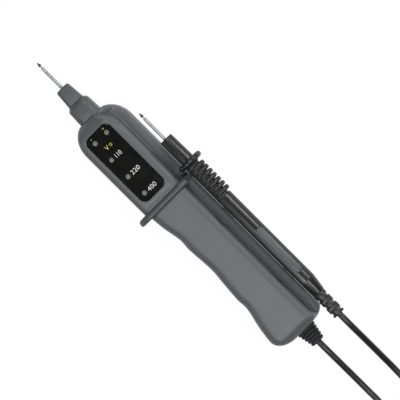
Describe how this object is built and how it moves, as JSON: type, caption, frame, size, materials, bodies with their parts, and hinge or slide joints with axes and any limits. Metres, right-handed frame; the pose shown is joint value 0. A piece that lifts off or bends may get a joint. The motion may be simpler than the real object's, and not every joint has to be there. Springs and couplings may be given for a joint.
{
  "type": "two-pole voltage tester",
  "caption": "Hand-held voltage tester with a display of lamps, a contact tip on its nose, a docked second probe on a test lead and a finger guard.",
  "frame": {"origin": "on the flat rest face of the rear cover, below the middle of the tester's length from the main contact tip to the end of the housing's strain relief", "axes": "+X from the main contact tip to the cable end, +Y towards the docked second probe, +Z from the rest face to the display face"},
  "size_m": [0.3692, 0.0637, 0.0314],
  "materials": {
    "housing_grey": "finely eroded dark grey ABS",
    "guard_grey": "satin dark grey ABS",
    "panel_black": "smooth black polycarbonate",
    "nose_grey": "satin grey ABS",
    "pin_steel": "nickel-plated steel",
    "brass": "turned brass",
    "board_green": "glass-epoxy board",
    "carrier_white": "natural nylon",
    "lamp_grey": "diffused epoxy",
    "resistor_tan": "lacquered ceramic",
    "diode_black": "moulded epoxy",
    "copper": "bare stranded copper",
    "lead_black": "soft black sheath",
    "clamp_grey": "moulded nylon",
    "screw_steel": "zinc-plated steel",
    "relief_black": "moulded soft plastic",
    "probe_black": "polished black plastic",
    "plaque_grey": "satin grey plastic",
    "strap_grey": "soft strap"
  },
  "bodies": {
    "tester": {"front_cover": "housing_grey", "rear_cover": "housing_grey", "finger_guard": "guard_grey", "display_panel": "panel_black", "nose_collar": "nose_grey", "nose_cone": "nose_grey", "main_tip": "pin_steel", "tip_socket": "brass", "circuit_board": "board_green", "lamp_carrier": "carrier_white", "polarity_lamps": "lamp_grey", "voltage_lamps": "lamp_grey", "series_resistors": "resistor_tan", "rectifier_diodes": "diode_black", "lead_core": "copper", "lead_inner_end": "lead_black", "cable_clamp": "clamp_grey", "clamp_screws": "screw_steel", "cover_screws": "screw_steel", "body_relief": "relief_black", "front_dock_clip": "guard_grey", "rear_dock_clip": "guard_grey", "lead_from_body": "lead_black", "lead_coil": "lead_black", "coil_tie": "strap_grey", "lead_to_probe": "lead_black"},
    "second_probe": {"probe_sleeve": "probe_black", "probe_guard": "probe_black", "probe_grip": "probe_black", "probe_barrel": "probe_black", "probe_plaque": "plaque_grey", "probe_tip": "pin_steel", "probe_pin_holder": "brass", "probe_core": "copper", "probe_lead_end": "lead_black", "probe_relief": "relief_black"}
  },
  "joints": [
    {"name": "probe_undock", "type": "slide", "parent": "tester", "child": "second_probe", "axis": [0, 0, 1], "range_m": [0, 0.04]}
  ]
}
